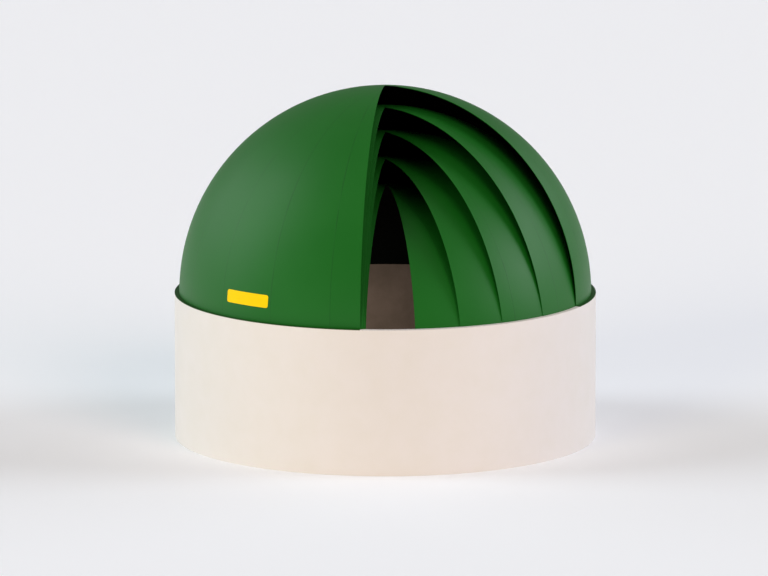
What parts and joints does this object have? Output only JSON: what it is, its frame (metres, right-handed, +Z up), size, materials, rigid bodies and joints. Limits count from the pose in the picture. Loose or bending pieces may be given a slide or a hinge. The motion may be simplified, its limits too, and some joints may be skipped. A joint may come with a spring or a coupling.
{
  "type": "double membrane gas holder",
  "caption": "Round concrete tank roofed by nested green dome membranes clamped to its wall top, cut open at the front to show the air gaps and the tank inside.",
  "frame": {"origin": "centre of the tank's underside, on the ground", "axes": "+Z up, -Y towards the front with the cutaway, +X to the right seen from the front"},
  "size_m": [17.4012, 17.4012, 14.538],
  "materials": {
    "wall_concrete": "matt pale beige cast concrete",
    "floor_concrete": "matt grey floated concrete",
    "membrane_fabric": "satin green coated polyester fabric",
    "clamp_ring_paint": "satin dark green paint"
  },
  "bodies": {
    "root": {"tank_floor": "floor_concrete", "tank_wall_01": "wall_concrete", "tank_wall_02": "wall_concrete", "tank_wall_03": "wall_concrete", "tank_wall_04": "wall_concrete", "tank_wall_05": "wall_concrete", "tank_wall_06": "wall_concrete", "tank_wall_07": "wall_concrete", "tank_wall_08": "wall_concrete", "tank_wall_09": "wall_concrete", "tank_wall_10": "wall_concrete", "tank_wall_11": "wall_concrete", "tank_wall_12": "wall_concrete", "clamp_ring_1": "clamp_ring_paint", "clamp_ring_2": "clamp_ring_paint", "clamp_ring_3": "clamp_ring_paint", "clamp_ring_4": "clamp_ring_paint", "clamp_ring_5": "clamp_ring_paint", "outer_membrane_panel_1": "membrane_fabric", "outer_membrane_panel_2": "membrane_fabric", "outer_membrane_panel_3": "membrane_fabric", "outer_membrane_panel_4": "membrane_fabric", "outer_membrane_panel_5": "membrane_fabric", "second_membrane_panel_1": "membrane_fabric", "second_membrane_panel_2": "membrane_fabric", "second_membrane_panel_3": "membrane_fabric", "second_membrane_panel_4": "membrane_fabric", "second_membrane_panel_5": "membrane_fabric", "third_membrane_panel_1": "membrane_fabric", "third_membrane_panel_2": "membrane_fabric", "third_membrane_panel_3": "membrane_fabric", "third_membrane_panel_4": "membrane_fabric", "third_membrane_panel_5": "membrane_fabric", "fourth_membrane_panel_1": "membrane_fabric", "fourth_membrane_panel_2": "membrane_fabric", "fourth_membrane_panel_3": "membrane_fabric", "fourth_membrane_panel_4": "membrane_fabric", "fourth_membrane_panel_5": "membrane_fabric", "inner_membrane_panel_1": "membrane_fabric", "inner_membrane_panel_2": "membrane_fabric", "inner_membrane_panel_3": "membrane_fabric", "inner_membrane_panel_4": "membrane_fabric", "inner_membrane_panel_5": "membrane_fabric"}
  },
  "joints": []
}
